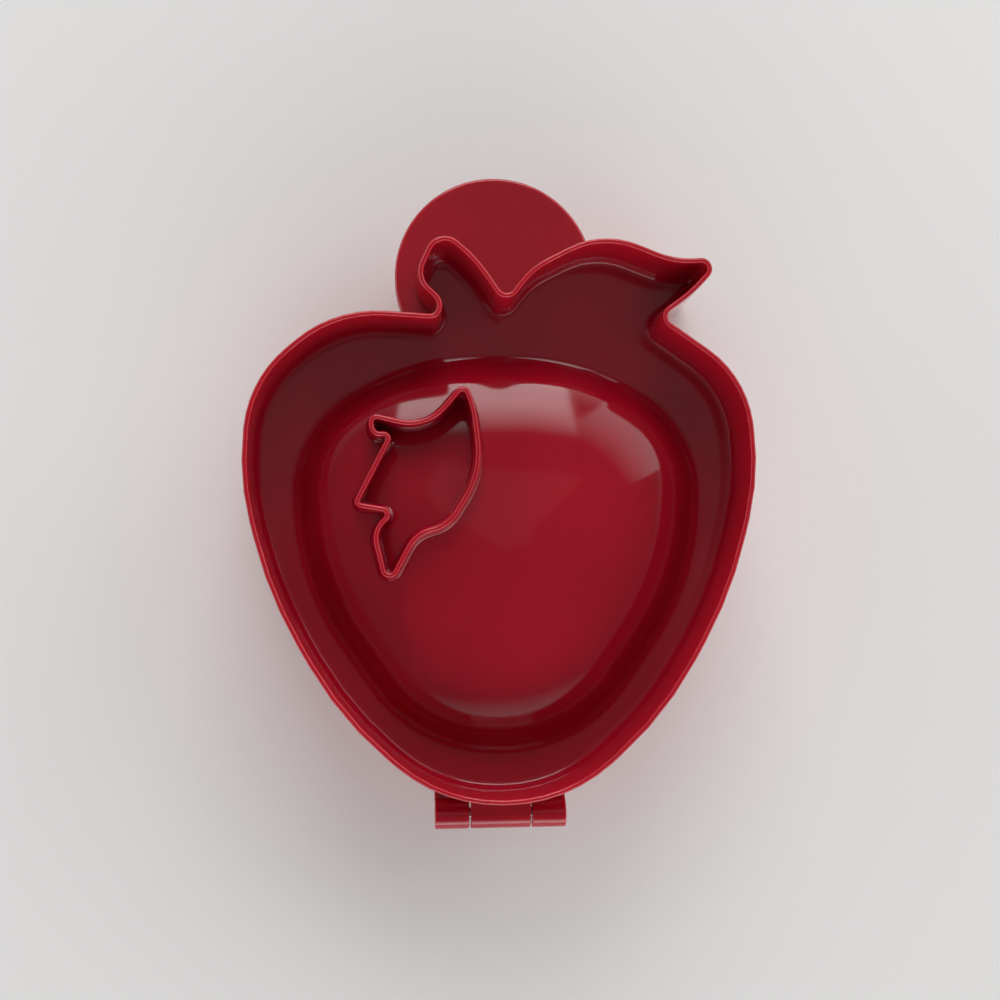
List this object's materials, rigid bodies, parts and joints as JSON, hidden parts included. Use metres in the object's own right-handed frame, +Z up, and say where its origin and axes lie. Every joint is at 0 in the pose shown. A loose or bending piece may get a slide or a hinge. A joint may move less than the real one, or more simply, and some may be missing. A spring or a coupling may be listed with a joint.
{
  "type": "empanada press",
  "caption": "Apple-shaped hinged hand-pie press: two domed moulded halves with crimping teeth, cutting rims on their backs, a leaf vent cutter and round finger tabs.",
  "frame": {"origin": "centre of the closed press's footprint, in the plane of the lower half's cutting rim", "axes": "+Z up through the closed press, with the vent cutter on top; +Y from the hinge towards the stem, leaf and finger tabs; X along the hinge"},
  "size_m": [0.1164, 0.153, 0.0413],
  "materials": {
    "red_plastic": "glossy injection moulding",
    "pin_steel": "drawn stainless wire"
  },
  "bodies": {
    "base": {"lower_half": "red_plastic", "hinge_pin": "pin_steel"},
    "lid": {"upper_half": "red_plastic"}
  },
  "joints": [
    {"name": "press_hinge", "type": "hinge", "parent": "base", "child": "lid", "pos_m": [0, -0.073, 0.02065], "axis": [1, 0, 0], "range_deg": [0, 180]}
  ]
}
